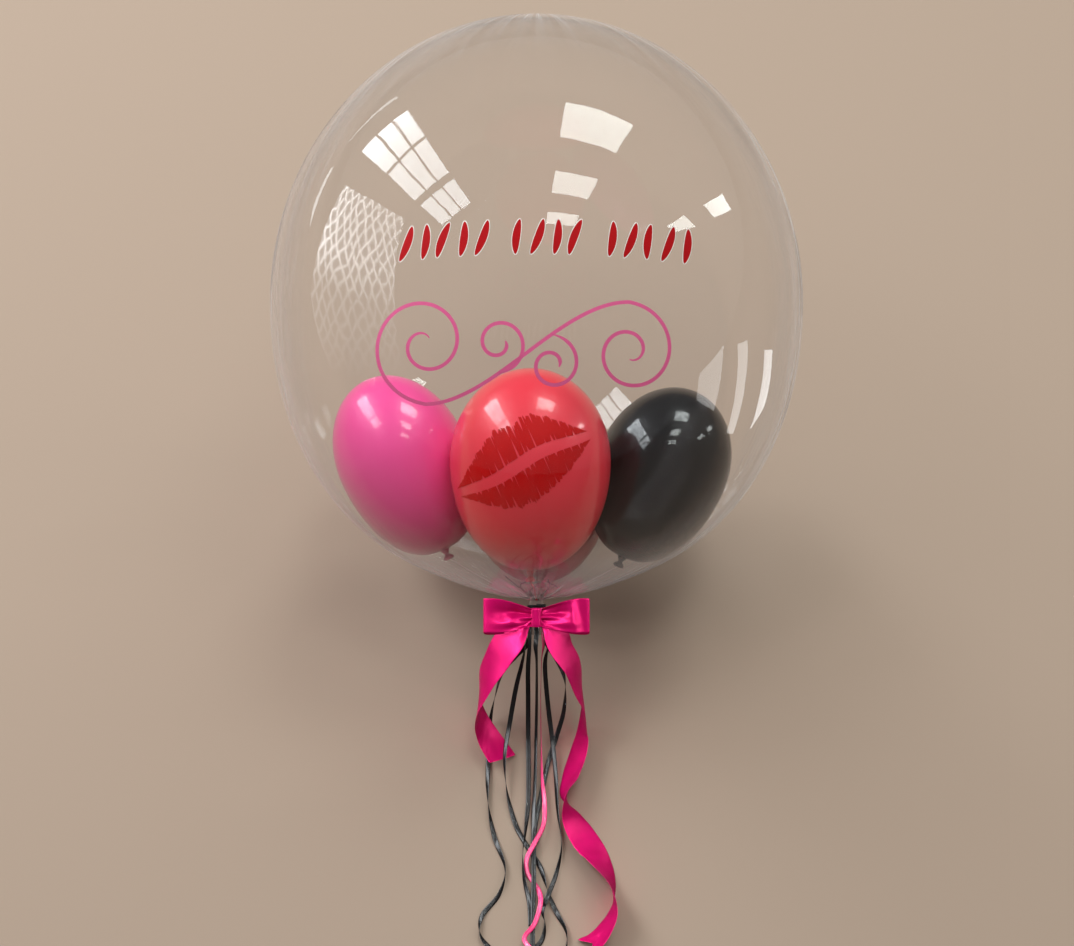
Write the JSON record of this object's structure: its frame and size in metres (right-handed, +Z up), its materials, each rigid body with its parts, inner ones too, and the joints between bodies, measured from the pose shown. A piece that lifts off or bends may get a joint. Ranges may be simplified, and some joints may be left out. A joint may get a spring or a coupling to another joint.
{
  "type": "bubble balloon with bow and ribbons",
  "caption": "Clear bubble balloon lying on its side, neck tied under a satin bow, with curling ribbons and a tether trailing on the ground.",
  "frame": {"origin": "centre of the small flat patch on which the bubble rests", "axes": "+Z up; the balloon's neck points toward -Y and dips 30 degrees, so the crown is toward +Y; +X is across"},
  "size_m": [0.563, 0.9686, 0.5742],
  "materials": {
    "clear_film": "clear, glossy, thin stretched film",
    "black_elastic": "matt wound band",
    "pink_satin": "smooth satin with a soft sheen",
    "black_ribbon": "crimped glossy curling ribbon",
    "pink_ribbon": "glossy curling ribbon",
    "pink_latex": "glossy stretched latex",
    "red_latex": "glossy stretched latex",
    "black_latex": "glossy stretched latex",
    "red_vinyl": "cut self-adhesive vinyl",
    "pink_vinyl": "cut self-adhesive vinyl"
  },
  "bodies": {
    "root": {"bubble": "clear_film", "neck_tie": "black_elastic", "satin_bow": "pink_satin", "curling_ribbon_left": "black_ribbon", "curling_ribbon_inner_left": "black_ribbon", "curling_ribbon_middle": "black_ribbon", "curling_ribbon_inner_right": "black_ribbon", "curling_ribbon_right": "black_ribbon", "pink_curling_ribbon": "pink_ribbon", "tether_ribbon": "black_ribbon", "tether_loop": "black_ribbon"}
  },
  "joints": []
}
